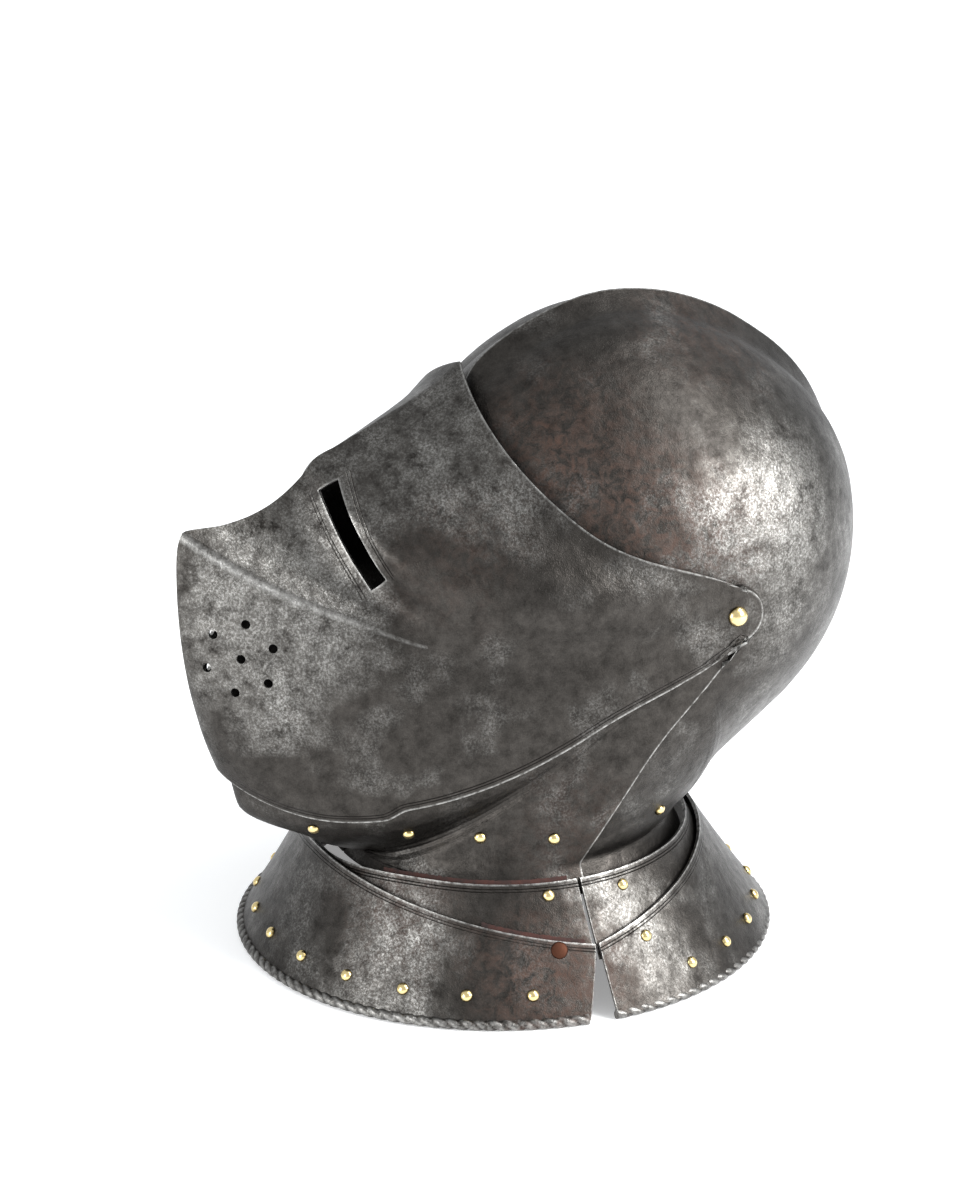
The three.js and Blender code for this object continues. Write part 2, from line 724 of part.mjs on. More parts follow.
function buildVisor() {
  const shell = shellGeometry(visorGrid, offsetGrid(visorGrid, visorWall));
  return cutAll(shell, [...pivotHoles, ...breathHoles(), ...sightHoles()]);
}

function buildUpperLame(toward) {
  const holes = [...rivetHoles(ofSide(upperJoin, toward), domedRivet),
    ...rivetHoles(ofSide(lowerJoin, toward), domedRivet)];
  return cutAll(upperLame(toward), holes);
}

function buildLowerLame(toward, power) {
  const holes = [...rivetHoles(ofSide(rimRivets, toward), domedRivet),
    ...rivetHoles(ofSide(lowerJoin, toward), domedRivet)];
  return cutAll(lowerLame(toward, power), holes);
}

addPiece('skull', buildSkull(), darkSteel, 0.42, 0.9);
addPiece('bevor', buildBevor(), darkSteel, 0.45, 0.9);
addPiece('visor', buildVisor(), darkSteel, 0.45, 0.9);
addPiece('front_upper_lame', buildUpperLame(-1), darkSteel, 0.45, 0.9);
addPiece('rear_upper_lame', buildUpperLame(1), darkSteel, 0.45, 0.9);
addPiece('front_lower_lame', buildLowerLame(-1, frontDipPower), darkSteel, 0.45, 0.9);
addPiece('rear_lower_lame', buildLowerLame(1, rearDipPower), darkSteel, 0.45, 0.9);

for (const side of ['left', 'right']) {
  const holes = rivetHoles([...ofSide(upperJoin, -1), ...ofSide(lowerJoin, -1)], domedRivet);
  addPiece(`front_upper_leather_${side}`, cutAll(upperLeather(side), holes), redLeather, 0.8, 0);
  addPiece(`front_lower_leather_${side}`, cutAll(lowerLeather(side), holes), redLeather, 0.8, 0);
}
for (const one of pivots) {
  addPiece(one.name, rivetGeometry(pivotRivet, pivotGrip, one.seat), brass, 0.3, 1);
}
for (const one of bevorLining) {
  addPiece(one.name, rivetGeometry(domedRivet, bevorWall, one.seat), brass, 0.3, 1);
}
for (const one of skullLining) {
  addPiece(one.name, rivetGeometry(domedRivet, skullWall, one.seat), brass, 0.3, 1);
}
for (const one of rimRivets) {
  addPiece(one.name, rivetGeometry(domedRivet, lameWall, one.seat), brass, 0.3, 1);
}
for (const one of lameRivets) {
  const flat = isFlat(one);
  const plateUnder = leatherSpace + rivetSlack + (one.toward < 0 ? bevorWall : bevorOut + skullWall);
  const grip = lameWall + (one.level === 'upper' ? plateUnder : leatherSpace + lameWall);
  const kind = flat ? flatRivet : domedRivet;
  addPiece(one.name, rivetGeometry(kind, grip, one.seat), flat ? copper : brass, 0.4, 1);
}

// Rests with its roped rim on the ground, with the middle of its outline at the origin
helmet.updateMatrixWorld(true);
const outline = new THREE.Box3().setFromObject(helmet);
const middle = outline.getCenter(new THREE.Vector3());
helmet.position.set(-middle.x, -middle.y, rimDrop);

export default helmet;
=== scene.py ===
import json
import math

import bpy
import numpy as np
from mathutils import Matrix, Vector, noise


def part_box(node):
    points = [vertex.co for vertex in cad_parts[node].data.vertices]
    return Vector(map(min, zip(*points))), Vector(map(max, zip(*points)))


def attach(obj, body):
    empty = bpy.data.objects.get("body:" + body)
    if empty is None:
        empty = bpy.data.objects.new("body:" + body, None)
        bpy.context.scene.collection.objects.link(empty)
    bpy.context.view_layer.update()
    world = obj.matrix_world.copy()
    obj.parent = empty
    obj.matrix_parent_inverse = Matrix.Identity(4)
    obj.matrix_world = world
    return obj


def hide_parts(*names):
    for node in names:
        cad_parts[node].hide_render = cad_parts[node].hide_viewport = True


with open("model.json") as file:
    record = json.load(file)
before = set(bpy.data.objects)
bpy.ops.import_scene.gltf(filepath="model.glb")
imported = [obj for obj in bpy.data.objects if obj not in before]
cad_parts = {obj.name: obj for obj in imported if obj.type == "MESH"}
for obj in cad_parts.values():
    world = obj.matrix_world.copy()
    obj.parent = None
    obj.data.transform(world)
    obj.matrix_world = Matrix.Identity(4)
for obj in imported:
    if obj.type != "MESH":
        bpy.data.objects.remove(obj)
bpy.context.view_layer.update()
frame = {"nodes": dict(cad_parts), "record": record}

# The studio: a plain pale floor, a white room and the camera at the photograph's angle.
# The helmet stands on the floor and looks to the left. Lengths are in millimetres here and
# in every section below, and turn to metres where a mesh, a lamp or a camera is placed.
MM = 0.001
rivet_low, rivet_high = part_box("pivot_rivet_left")
pivot = Vector((0, (rivet_low[1] + rivet_high[1]) / 2, (rivet_low[2] + rivet_high[2]) / 2))
camera_turn, camera_rise = math.radians(66), math.radians(20)
camera_back = Vector((math.sin(camera_turn) * math.cos(camera_rise),
                      -math.cos(camera_turn) * math.cos(camera_rise), math.sin(camera_rise)))
camera_aim = pivot + Vector((0, -79.2, -12.8)) * MM
camera_distance, picture_height, film = 1700, 540, 36

scene = bpy.context.scene
scene.view_settings.view_transform = "Standard"
bpy.ops.object.camera_add(location=camera_aim + camera_back * camera_distance * MM)
camera = bpy.context.object
camera.rotation_euler = camera_back.to_track_quat("Z", "Y").to_euler()
camera.data.sensor_fit = "VERTICAL"
camera.data.sensor_height = film
camera.data.sensor_width = film
camera.data.lens = film * camera_distance / picture_height
camera.data.clip_end = 50
scene.camera = camera


def lamp(name, size, power, place, target):
    """A soft rectangular lamp that faces a point, both given in millimetres."""
    bpy.ops.object.light_add(type="AREA", location=Vector(place) * MM)
    one = bpy.context.object
    one.name = name
    one.data.shape = "RECTANGLE"
    one.data.size, one.data.size_y = size[0] * MM, size[1] * MM
    one.data.energy = power
    one.rotation_euler = (Vector(place) - Vector(target)).to_track_quat("Z", "Y").to_euler()


def linear(code):
    """An sRGB hex colour as the linear one that shaders read."""
    parts = [int(code[k:k + 2], 16) / 255 for k in (1, 3, 5)]
    return [p / 12.92 if p <= 0.04045 else ((p + 0.055) / 1.055) ** 2.4 for p in parts] + [1]


def add(tree, kind, links=None, out=0, **settings):
    """Adds one shader node with its settings, links or sets its inputs, and gives an output."""
    node = tree.nodes.new(kind)
    for key, value in settings.items():
        setattr(node, key, value)
    for key, value in (links or {}).items():
        socket = node.inputs[key]
        if isinstance(value, bpy.types.NodeSocket):
            tree.links.new(value, socket)
        else:
            socket.default_value = value
    return node.outputs[out]


room = bpy.data.worlds.new("white_room")
scene.world = room
room.use_nodes = True
room.node_tree.nodes["Background"].inputs["Color"].default_value = linear("#f7f9fb")
room.node_tree.nodes["Background"].inputs["Strength"].default_value = 0.82

lamp("overhead_softbox", (900, 700), 16, (500, 700, 1500), (0, 0, 180))
lamp("side_softbox", (460, 520), 27, (980, 830, 650), (60, 60, 220))
lamp("front_softbox", (700, 900), 13, (420, -1500, 420), (0, -60, 160))

bpy.ops.mesh.primitive_plane_add(size=14)
floor = bpy.context.object
floor.name = "pale_floor"
# matt paper that glows a little, so that it reads as plain white with a soft shadow
paper = bpy.data.materials.new("matte white paper sweep")
paper.use_nodes = True
shader = paper.node_tree.nodes["Principled BSDF"]
shader.inputs["Base Color"].default_value = linear("#f6f7f8")
shader.inputs["Roughness"].default_value = 0.9
shader.inputs["Emission Color"].default_value = linear("#ffffff")
shader.inputs["Emission Strength"].default_value = 0.3
floor.data.materials.append(paper)

# The skull: one bowl of sheet steel, raised hot over a stake and hammered, with a low
# comb from brow to nape and a straight neck below. Its section is worked out along rows
# that fan out from the pivots, in shares of the crown's reach, as it was drawn.
face_droop = 18
side_radius = 330
pivot_zone = 80
waist_share = 0.86
comb_start, comb_height, comb_flare = 0.91, 7.5, 1.25
lip_start, lip_rise, lip_fade = 0.56, 0.06, 0.7
neck = {"half_width": 77.5, "half_length": 76, "forward": 71, "waist": 111.5, "chin": 119, "end": 124}
rim = {"top": 112, "drop": 171, "half_width": 120.3, "half_length": 124.5, "forward": 67.5, "power": 1.12}
lame_wall, leather_space = 1.5, 2.5
bevor_out = 3.0
collar_out = bevor_out + leather_space + lame_wall
lower_out = leather_space + lame_wall
rim_height = rim["drop"] - rim["top"]
far_off = 60.0  # past any edge painted lighter, as wear and as a painted highlight, and any engraved line


def ease(t):
    """A smooth step from 0 to 1."""
    t = np.clip(t, 0, 1)
    return t * t * (3 - 2 * t)


def follow(at, known, values):
    """A smooth curve through the values, which never swings past them."""
    known, values = np.array(known, float), np.array(values, float)
    step = np.diff(known)
    slope = np.diff(values) / step
    lean = np.zeros(len(values))
    same = slope[:-1] * slope[1:] > 0
    with np.errstate(divide="ignore", invalid="ignore"):
        between = 2 * slope[:-1] * slope[1:] / (slope[:-1] + slope[1:])
    lean[1:-1] = np.where(same, between, 0)
    lean[0], lean[-1] = slope[0], slope[-1]
    k = np.clip(np.searchsorted(known, at) - 1, 0, len(step) - 1)
    t = (at - known[k]) / step[k]
    return ((1 + 2 * t) * (1 - t) ** 2 * values[k] + t * (1 - t) ** 2 * step[k] * lean[k]
            + t * t * (3 - 2 * t) * values[k + 1] + t * t * (t - 1) * step[k] * lean[k + 1])


def quarter(side, crown, share):
    """Where a ray from the corner meets the rounded quarter outline."""
    turn = (1 - share) * np.pi / 2
    along, across = np.cos(turn), np.sin(turn)
    low, high = np.zeros_like(turn), np.full_like(turn, 1.5)
    for _ in range(34):
        middle = (low + high) / 2
        inside = (middle * along) ** side + (middle * across) ** crown < 1
        low, high = np.where(inside, middle, low), np.where(inside, high, middle)
    return low * along, low * across


def flare(z):
    """How far the neck and the gorget have widened at a height, and crept back."""
    fall = np.maximum(0, (-z - rim["top"]) / rim_height)
    wide = fall ** rim["power"]
    return (wide * (rim["half_width"] - lower_out - collar_out - neck["half_width"]),
            wide * (rim["half_length"] - lower_out - collar_out - neck["half_length"]),
            fall * (neck["forward"] - rim["forward"]))


def neck_rows(turn, out, back, front_share, straightness):
    """Sections that run down to the waist of the neck, and on to its lower end."""
    turn = np.radians(turn)
    forward = np.maximum(0, -np.cos(turn))
    half = (neck["half_length"] + back + out) * (1 + (front_share - 1) * forward)
    y = -neck["forward"] + back + half * np.cos(turn)
    x = (neck["half_width"] + out) * np.sin(turn)
    waist = neck["waist"] + (neck["chin"] - neck["waist"]) * ease(forward)
    openness = ease(straightness * x / neck["half_width"])
    angle = np.degrees(np.arctan2(-waist, -y))
    down = np.where(np.abs(np.sin(turn)) < 1e-6, 0, neck["end"] - waist)
    zero = np.zeros_like(y)
    return {"angle": angle, "radius": np.hypot(y, waist), "comb": zero, "lip": zero, "droop": zero,
            "side": 2.05 - 0.25 * openness, "crown": 2 - openness ** 2, "end": x, "down": down}


def section_rows(angles, table, reach, columns):
    """Fine sections through a table whose first column is the angle about the pivots."""
    known = [row[0] for row in table]
    rows = {name: follow(angles, known, [row[k + 1] for row in table]) for k, name in enumerate(columns)}
    rows["radius"] = rows.pop("reach") * reach
    for name in ("comb", "lip", "end", "down"):
        rows.setdefault(name, np.zeros_like(angles))
    rows.setdefault("droop", np.ones_like(angles))
    rows["angle"] = angles
    return rows


def joined(*parts):
    """The rows of several parts in one run."""
    return {key: np.concatenate([part[key] for part in parts]) for key in parts[0]}


def fan(rows, share, half_width, arm, arm_back, arm_up):
    """Points of a plate in millimetres about the pivots: share 0 at them, 1 at its far edge."""
    full = np.where(rows["down"] > 0, waist_share, 1)
    along, across = quarter(rows["side"], rows["crown"], np.minimum(1, share / full))
    x = rows["end"] + (half_width - rows["end"]) * across
    lip = rows["lip"] * ease((share - lip_start) / lip_rise) * (1 - ease((share - lip_fade) / (1 - lip_fade)))
    turn = np.radians(rows["angle"] - rows["droop"] * face_droop * across - lip)
    crest = np.clip((share - comb_start) / (1 - comb_start), 0, 1) ** comb_flare
    radius = rows["radius"] * along + rows["comb"] * comb_height * crest
    fade = 1 - ease(radius / pivot_zone)
    y = -radius * np.cos(turn) + fade * arm * arm_back
    below = rows["down"] * np.clip((share - waist_share) / (1 - waist_share), 0, 1)
    z = radius * np.sin(turn) + fade * arm * arm_up - below
    dome = half_width - (y * y + z * z) / (2 * side_radius)
    wide_x, wide_y, back = flare(z)
    around = np.arctan2((y + neck["forward"]) / neck["half_length"], x / neck["half_width"])
    x_flared = x + (dome - x) * fade + wide_x * np.cos(around)
    return np.stack([np.where(x < 1e-6, 0, x_flared), y + wide_y * np.sin(around) + back, z], axis=-1)


def spaced(rows, half_width, arm, arm_back, arm_up):
    """Picks the rows again so that they lie evenly along the plate."""
    lengths = 0
    for share in (0.55, 0.8, 1.0):
        line = fan(rows, np.full_like(rows["angle"], share), half_width, arm, arm_back, arm_up)
        lengths = lengths + np.linalg.norm(np.diff(line, axis=0), axis=1)
    way = np.concatenate([[0], np.cumsum(lengths)])
    return way / way[-1]


def select_only(*objects):
    """Selects these alone, with the first one active."""
    bpy.ops.object.select_all(action="DESELECT")
    for one in objects:
        one.select_set(True)
    bpy.context.view_layer.objects.active = objects[0]


def applied(obj, kind, **settings):
    """Adds one modifier and applies it at once."""
    select_only(obj)
    modifier = obj.modifiers.new(kind.lower(), kind)
    for key, value in settings.items():
        setattr(modifier, key, value)
    bpy.ops.object.modifier_apply(modifier=modifier.name)


def sheet_grid(name, steps, shape, finer=()):
    """A flat grid is bent to a surface: shape(across, along) gives points in millimetres,
    and each box of finer (low, high in across and along) is divided again first."""
    bpy.ops.object.select_all(action="DESELECT")
    bpy.ops.mesh.primitive_grid_add(x_subdivisions=steps[0], y_subdivisions=steps[1], size=1)
    sheet = bpy.context.object
    sheet.name = sheet.data.name = name
    for low, high in finer:
        centres = np.array([face.center[:2] for face in sheet.data.polygons]) + 0.5
        inside = ((centres > low) & (centres < high)).all(axis=1)
        for part in (sheet.data.vertices, sheet.data.edges):
            part.foreach_set("select", np.zeros(len(part), bool))
        sheet.data.polygons.foreach_set("select", inside)
        bpy.ops.object.mode_set(mode="EDIT")
        bpy.ops.mesh.select_mode(type="FACE")
        bpy.ops.mesh.subdivide(number_cuts=1)
        bpy.ops.object.mode_set(mode="OBJECT")
    flat = np.empty(len(sheet.data.vertices) * 3)
    sheet.data.vertices.foreach_get("co", flat)
    flat = flat.reshape(-1, 3)[:, :2] + 0.5
    points = shape(flat[:, 0], flat[:, 1])
    sheet.data.vertices.foreach_set("co", ((points * MM) + np.array(pivot)).ravel())
    sheet.data.update()
    return sheet, flat, points


def border_distance(flat, points, sides):
    """How far each point of a sheet is from the chosen edges, in millimetres."""
    away = np.full(len(points), far_off)
    for axis, end in sides:
        line = points[np.abs(flat[:, axis] - end) < 1e-5]
        for start in range(0, len(points), 4000):
            part = points[start:start + 4000]
            gap = np.linalg.norm(part[:, None, :] - line[None, :, :], axis=2).min(axis=1)
            away[start:start + 4000] = np.minimum(away[start:start + 4000], gap)
    return away


def write_values(obj, name, values):
    """Keeps one value for each point of a mesh, for its material to read."""
    layer = obj.data.attributes.new(name, "FLOAT", "POINT")
    layer.data.foreach_set("value", values.astype(np.float32))


def facing_out(obj):
    """Merges what meets, and turns the faces away from the middle of the head."""
    select_only(obj)
    bpy.ops.object.mode_set(mode="EDIT")
    bpy.ops.mesh.select_all(action="SELECT")
    bpy.ops.mesh.remove_doubles(threshold=0.0003)
    bpy.ops.mesh.normals_make_consistent(inside=False)
    bpy.ops.object.mode_set(mode="OBJECT")
    middle = pivot + Vector((0, -20, 0)) * MM
    away = sum((face.center - middle).normalized().dot(face.normal) * face.area
               for face in obj.data.polygons)
    if away < 0:
        bpy.ops.object.mode_set(mode="EDIT")
        bpy.ops.mesh.flip_normals()
        bpy.ops.object.mode_set(mode="OBJECT")


def hammered(obj, depth, size, seed):
    """Shallow hammer marks: moves the sheet in and out by a depth, at a size in millimetres."""
    shift = Vector((seed * 7.3, seed * 3.1, seed * 5.7))
    moved = np.empty(len(obj.data.vertices) * 3)
    obj.data.vertices.foreach_get("co", moved)
    moved = moved.reshape(-1, 3)
    for vertex in obj.data.vertices:
        place = vertex.co / (size * MM)
        wave = noise.noise(place + shift) + 0.5 * noise.noise(place * 2.1 - shift)
        moved[vertex.index] += np.array(vertex.normal) * wave * depth * MM
    obj.data.vertices.foreach_set("co", moved.ravel())
    obj.data.update()


def finished(obj, body, node, material):
    """Smooth shading and the material, then rides the piece on its body and hides the part it stands for."""
    select_only(obj)
    bpy.ops.object.shade_smooth_by_angle(angle=math.radians(38))
    obj.data.materials.clear()
    obj.data.materials.append(material)
    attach(obj, body)
    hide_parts(node)


def steel(name, painted_highlights=(), rusty=(), grain=0):
    """Hammered steel, blackened by age: dull patina, silver where it is rubbed, and rust.
    The first list holds places in millimetres about the pivots, with a reach and a weight, where the steel is painted
    a lighter grey with more silver, a painted highlight over rubbed steel; a weight below nought paints it darker
    there. rusty holds places of rust in the same way."""
    material = bpy.data.materials.new(name)
    material.use_nodes = True
    tree = material.node_tree
    shader = tree.nodes["Principled BSDF"]
    here = add(tree, "ShaderNodeTexCoord", out="Object")
    place = add(tree, "ShaderNodeMapping", {"Vector": here, "Location": (grain, grain * 0.7, -grain)})
    edge = add(tree, "ShaderNodeAttribute", out="Fac", attribute_name="edge_mm")
    border = add(tree, "ShaderNodeAttribute", out="Fac", attribute_name="line_mm")

    # each pattern's size in millimetres, detail, roughness and distortion
    patterns = (
        (34, 3, 0.55, 0.3),  # broad clouds of patina
        (8, 8, 0.74, 0.1),  # mottle
        (1.1, 3, 0.8, 0),  # silver specks
        (0.6, 2, 0.7, 0),  # pits
        (5, 5, 0.7, 0.8),  # flakes of rust
        (2.6, 4, 0.7, 0),  # wear along an edge
        (3.2, 4, 0.6, 0),  # skin of the sheet
        (10, 1, 0.4, 0),  # hammer blows
    )
    broad, mottle, speck, pits, flakes, wear, skin, blows = (
        add(tree, "ShaderNodeTexNoise", {"Vector": place, "Scale": 1 / (size * MM), "Detail": detail,
                                         "Roughness": rough, "Distortion": warp})
        for size, detail, rough, warp in patterns)

    # the first zone paints the steel lighter, with grey bloom and silver, at the given places: painted highlights,
    # and darker where a weight is below nought; the second zone holds rust
    zones = []
    for share, places in ((1, painted_highlights), (0.5, rusty)):
        zone = add(tree, "ShaderNodeMath", {0: broad, 1: share}, operation="MULTIPLY")
        for x, y, z, reach, weight in places:
            spot = pivot + Vector((x, y, z)) * MM
            gap = add(tree, "ShaderNodeVectorMath", {0: here, 1: spot}, out="Value", operation="DISTANCE")
            near = add(tree, "ShaderNodeMapRange", {"Value": gap, "From Min": 0, "From Max": reach * MM,
                                                    "To Min": weight, "To Max": 0}, clamp=True)
            zone = add(tree, "ShaderNodeMath", {0: zone, 1: near}, operation="ADD")
        zones.append(zone)
    grainy = add(tree, "ShaderNodeMath", {0: pits, 1: 0.35, 2: mottle}, operation="MULTIPLY_ADD")
    # two fine lines are engraved beside a border, at these distances
    engraved = []
    for distance in (2.2, 3.5):
        away = add(tree, "ShaderNodeMath", {0: border, 1: distance}, operation="SUBTRACT")
        engraved.append(add(tree, "ShaderNodeMath", {0: away}, operation="ABSOLUTE"))

    # each share: what it follows, from which value to which, and the share at both
    patina, bloom_and_highlight_share, mottled, rusted, flaked, specked, clouded, edge_wear_and_highlight, worn, dull, first, second = (
        add(tree, "ShaderNodeMapRange", {"Value": value, "From Min": low, "From Max": high,
                                         "To Min": start, "To Max": end}, clamp=True)
        for value, low, high, start, end in (
            (grainy, 0.48, 0.87, 0, 1), (zones[0], 0.54, 1, 0, 1), (mottle, 0.33, 0.7, 0, 1),
            (zones[1], 0.3, 0.9, 0, 1), (flakes, 0.4, 0.66, 0, 1), (speck, 0.44, 0.66, 0, 1),
            (broad, 0.42, 0.9, 0, 0.4), (edge, 0.1, 1, 0.85, 0), (wear, 0.36, 0.6, 0.12, 1),
            (mottle, 0.3, 0.7, 0.46, 0.34), (engraved[0], 0, 0.3, 1, 0), (engraved[1], 0, 0.3, 1, 0)))
    bloom_and_highlight = add(tree, "ShaderNodeMath", {0: bloom_and_highlight_share, 1: mottled}, operation="MULTIPLY")
    rust = add(tree, "ShaderNodeMath", {0: rusted, 1: flaked}, operation="MULTIPLY")
    shine = add(tree, "ShaderNodeMath", {0: bloom_and_highlight, 1: clouded}, operation="ADD")
    shine = add(tree, "ShaderNodeMapRange", {"Value": shine, "From Min": 0.06, "From Max": 0.95}, clamp=True)
    silver = add(tree, "ShaderNodeMath", {0: specked, 1: shine}, operation="MULTIPLY")
    # near edges, the visor's ridge and the rope's crests the steel is painted lighter: partly rubbed steel, partly a
    # painted highlight along them
    rubbed = add(tree, "ShaderNodeMath", {0: edge_wear_and_highlight, 1: worn}, operation="MULTIPLY")
    line = add(tree, "ShaderNodeMath", {0: first, 1: second}, operation="MAXIMUM")

    # from the ground up: dark patina, grey bloom, rust, silver specks, worn edges, engraving. The grey bloom and the
    # silver gather at the painted highlights, and the worn edges are partly painted highlights along edges, ridges
    # and rope crests.
    tone = add(tree, "ShaderNodeMix", {0: patina, 6: linear("#282624"), 7: linear("#464340")}, out=2,
               data_type="RGBA")
    for share, strength, colour in ((bloom_and_highlight, 0.75, "#74726e"), (rust, 0.8, "#3f2516"), (silver, 1, "#a6a5a2"),
                                    (rubbed, 1, "#b0afac"), (line, 0.7, "#161412")):
        share = add(tree, "ShaderNodeMath", {0: share, 1: strength}, operation="MULTIPLY")
        tone = add(tree, "ShaderNodeMix", {0: share, 6: tone, 7: linear(colour)}, out=2, data_type="RGBA")
    tree.links.new(tone, shader.inputs["Base Color"])

    # rust is dull and no longer metal, and rubbed steel is smoother than patina
    dull = add(tree, "ShaderNodeMath", {0: rust, 1: 0.3, 2: dull}, operation="MULTIPLY_ADD")
    smooth = add(tree, "ShaderNodeMath", {0: silver, 1: rubbed}, operation="ADD")
    dull = add(tree, "ShaderNodeMath", {0: smooth, 1: -0.12, 2: dull}, operation="MULTIPLY_ADD")
    metal = add(tree, "ShaderNodeMath", {0: rust, 1: -0.7, 2: 1.0}, operation="MULTIPLY_ADD")
    tree.links.new(dull, shader.inputs["Roughness"])
    tree.links.new(metal, shader.inputs["Metallic"])

    relief = {}
    for height, strength, depth in ((pits, 0.6, 0.25), (skin, 0.5, 0.5), (blows, 0.5, 0.9), (line, 0.9, 0.35)):
        relief = {**relief, "Height": height, "Strength": strength, "Distance": depth * MM}
        relief["Normal"] = add(tree, "ShaderNodeBump", relief, invert=height is line)
    tree.links.new(relief["Normal"], shader.inputs["Normal"])
    return material


crown_reach = 118
skull_half_width, skull_wall, skull_arm = 91, 2.0, 15
skull_columns = ("reach", "comb", "droop", "side", "crown")
skull_sections = [
    (34, 1.06, 0, 1, 2.3, 1.85), (44, 1.06, 0, 1, 2.3, 1.85), (50, 1.058, 0.45, 0.95, 2.3, 1.92),
    (57, 1.048, 0.65, 0.85, 2.3, 2.05), (66, 1.036, 0.75, 0.7, 2.3, 2.15), (76, 1.028, 0.8, 0.5, 2.3, 2.2),
    (87, 1.0, 0.85, 0.32, 2.3, 2.2), (98, 0.962, 0.95, 0.2, 2.3, 2.2), (110, 0.925, 1, 0.1, 2.3, 2.2),
    (122, 0.898, 1, 0, 2.3, 2.2), (135, 0.887, 0.9, 0, 2.3, 2.2), (148, 0.88, 0.6, 0, 2.2, 2.15),
    (160, 0.868, 0.35, 0, 2.1, 2.1), (172, 0.852, 0.15, 0, 2.05, 2.05), (186, 0.835, 0, 0, 2, 2),
    (200, 0.815, 0, 0, 2, 2), (214, 0.8, 0, 0, 2, 2), (228, 0.79, 0, 0, 2, 2),
    (242, 0.795, 0, 0, 2, 2), (253, 0.82, 0, 0, 2, 2), (260.5, 0.868, 0, 0, 2.02, 2),
]
nape = neck_rows(np.array([0.0]), 0, bevor_out / 4, 1, 1)
skull_sections.append((nape["angle"][0] + 360, nape["radius"][0] / crown_reach, 0, 0, 2.05, 2))


def plate_shape(rows, half_width, arm, arm_back, arm_up):
    """The surface of a fanned plate, for sheet_grid."""
    way = spaced(rows, half_width, arm, arm_back, arm_up)

    def shape(across, along):
        here = {key: np.interp(along, way, values) for key, values in rows.items()}
        here["down"] = np.where(here["end"] > 0.4, neck["end"] - np.interp(along, way, rows["waist"]), 0)
        return fan(here, across, half_width, arm, np.interp(along, way, arm_back), np.interp(along, way, arm_up))
    return shape


def with_waist(rows):
    """Adds the height at which the neck of each row begins."""
    rows["waist"] = np.where(rows["down"] > 0, neck["end"] - rows["down"], neck["end"])
    return rows


def softened(shape, near, far, reach):
    """The same sheet with its rows blended together where across falls from far to near."""
    def soft(across, along):
        spread = reach * (1 - ease((across - near) / (far - near))) * ease(across / 0.25)
        spread = np.minimum(spread, np.minimum(along, 1 - along))
        total = 0.28 * shape(across, along)
        for step, weight in ((0.5, 0.22), (1, 0.14)):
            total = total + weight * (shape(across, along + spread * step) + shape(across, along - spread * step))
        return total
    return soft


cheek_rows = neck_rows(np.linspace(0.3, 94, 120), 0, bevor_out / 4, 1, 1)
cheek_rows["angle"] = cheek_rows["angle"] + 360
bowl_angles = np.linspace(skull_sections[0][0], skull_sections[-1][0], 300)
skull_rows = with_waist(joined(
    section_rows(bowl_angles, skull_sections, crown_reach, skull_columns), cheek_rows))
straight = np.zeros_like(skull_rows["angle"])
skull_shape = softened(plate_shape(skull_rows, skull_half_width, skull_arm, straight - 1, straight), 0.7, 0.88, 0.05)
skull, flat, points = sheet_grid("skull", (84, 150), skull_shape,
                                  finer=[(np.array([0.88, 0]), np.array([1, 0.8]))])
# the two halves meet at the nape's lower end
rim_points = np.nonzero(flat[:, 0] > 0.999)[0]
rim_points = rim_points[flat[rim_points, 1].argsort()]
meeting = rim_points[points[rim_points, 0] > 0.01][0]
skull.data.vertices[int(meeting)].co.x = 0
write_values(skull, "edge_mm", np.abs(points[:, 0]) + 0.25 + 3 * ease((flat[:, 1] - 0.35) / 0.2))
write_values(skull, "line_mm", np.full(len(points), far_off))
applied(skull, "MIRROR", use_clip=True, merge_threshold=0.00001)
facing_out(skull)
hammered(skull, 0.14, 15, 1)
applied(skull, "SOLIDIFY", thickness=skull_wall * MM, offset=-1)
# the first places paint the skull lighter on its side, where the side lamp's highlight falls, a painted highlight
# over hammered steel, and a little darker high up in front
skull_steel = steel("hammered steel of the skull", painted_highlights=[(85, 40, 40, 75, 0.6), (40, -60, 90, 60, -0.12)],
                    rusty=[(60, -70, 75, 60, 0.7), (80, -25, 30, 55, 0.7), (30, 20, 118, 60, 0.45)])
finished(skull, "skull", "skull", skull_steel)

# The visor: one sheet drawn out to a keeled prow, with a sharp ridge from its tip back
# along the cheeks. A ledge behind the ridge holds the two sights, and each side has a rose
# of seven punched breaths. It turns on the pivots, over the bevor.
visor_reach, visor_wall, visor_gap, visor_arm = 223.6, 1.6, 1.25, 12.5
bevor_half_width = skull_half_width + bevor_out
visor_half_width = bevor_half_width + visor_gap + visor_wall
visor_columns = ("reach", "side", "crown", "lip", "row")
visor_sections = [
    (-19.6, 0.982, 2.1, 1.5, 1.5, 0), (-14, 0.987, 2.05, 1.4, 0, 1), (-8, 0.991, 2, 1.28, 0, 2),
    (-2, 0.996, 1.95, 1.15, 0, 3), (4, 1.002, 1.88, 1.05, 0, 4), (8, 1.006, 1.83, 1, 0, 5),
    (10, 1, 1.8, 1, 0, 6), (11.2, 0.918, 1.95, 0.98, 0, 7), (12.6, 0.868, 2.2, 0.98, 0, 8),
    (14.7, 0.826, 2.6, 1, 0, 9), (17.2, 0.796, 3.2, 1.04, 0, 10), (19.5, 0.778, 3.7, 1.1, 0, 11),
    (22, 0.766, 3.9, 1.2, 0, 12), (25.3, 0.727, 3.7, 1.35, 0, 13), (31.1, 0.673, 3.1, 1.6, 0, 14),
    (37.8, 0.629, 2.6, 1.7, 0, 15), (43.3, 0.607, 2.4, 1.75, 0, 16), (48.3, 0.6, 2.3, 1.8, 0, 17),
]
visor_angles = np.linspace(visor_sections[0][0], visor_sections[-1][0], 500)
